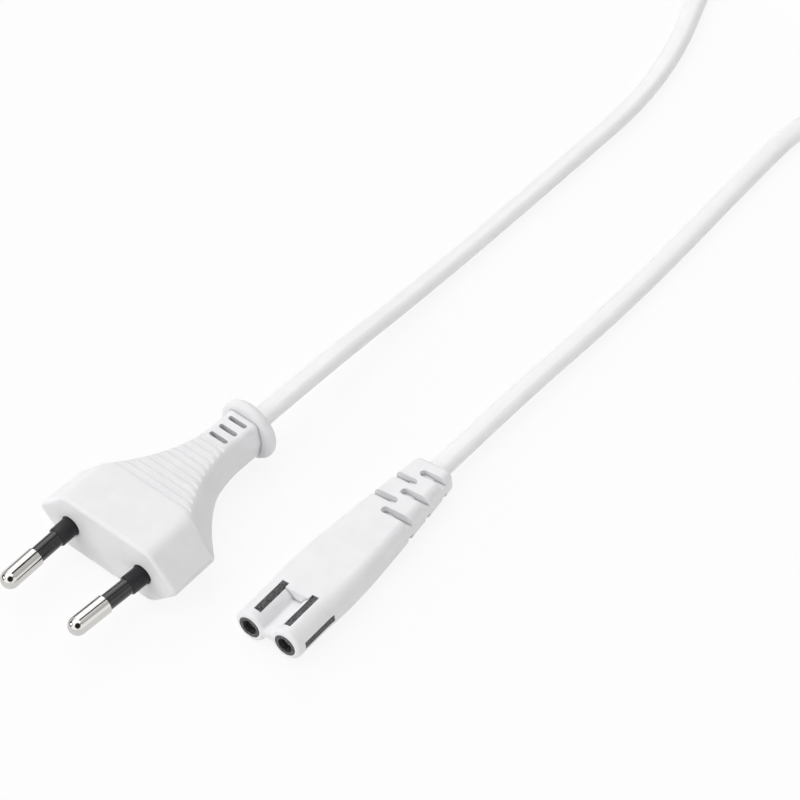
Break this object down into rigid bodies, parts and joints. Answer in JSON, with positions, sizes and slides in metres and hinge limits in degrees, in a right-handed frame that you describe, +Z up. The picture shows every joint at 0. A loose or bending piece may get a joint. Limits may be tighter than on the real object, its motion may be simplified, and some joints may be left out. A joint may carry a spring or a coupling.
{
  "type": "mains power cord",
  "caption": "White mains lead: a flat plug with round pins and a figure-eight appliance connector on a flat cord, with the spare length coiled and tied.",
  "frame": {"origin": "middle of the plug's and the connector's common box, on the table", "axes": "+Z up from the table, plug pins along -Y, cord leaving along +Y, +X from the plug to the connector"},
  "size_m": [0.0672, 0.3099, 0.014],
  "materials": {
    "white_plastic": "soft satin",
    "black_plastic": "satin",
    "pin_sleeve": "satin",
    "nickel": "bright",
    "contact_metal": "bright",
    "brown_core": "satin",
    "blue_core": "satin",
    "copper": "bare strands",
    "cord_jacket": "soft satin",
    "tie": "satin"
  },
  "bodies": {
    "root": {"plug_body": "white_plastic", "connector_body": "white_plastic", "pin_bridge": "black_plastic", "contact_carrier": "black_plastic", "left_pin_sleeve": "pin_sleeve", "right_pin_sleeve": "pin_sleeve", "left_pin": "nickel", "right_pin": "nickel", "left_contact": "contact_metal", "right_contact": "contact_metal", "plug_brown_core": "brown_core", "connector_brown_core": "brown_core", "plug_blue_core": "blue_core", "connector_blue_core": "blue_core", "plug_brown_strands": "copper", "plug_blue_strands": "copper", "connector_brown_strands": "copper", "connector_blue_strands": "copper", "cord_plug_side": "cord_jacket", "cord_connector_side": "cord_jacket", "cord_coil": "cord_jacket", "cord_tie": "tie"}
  },
  "joints": []
}
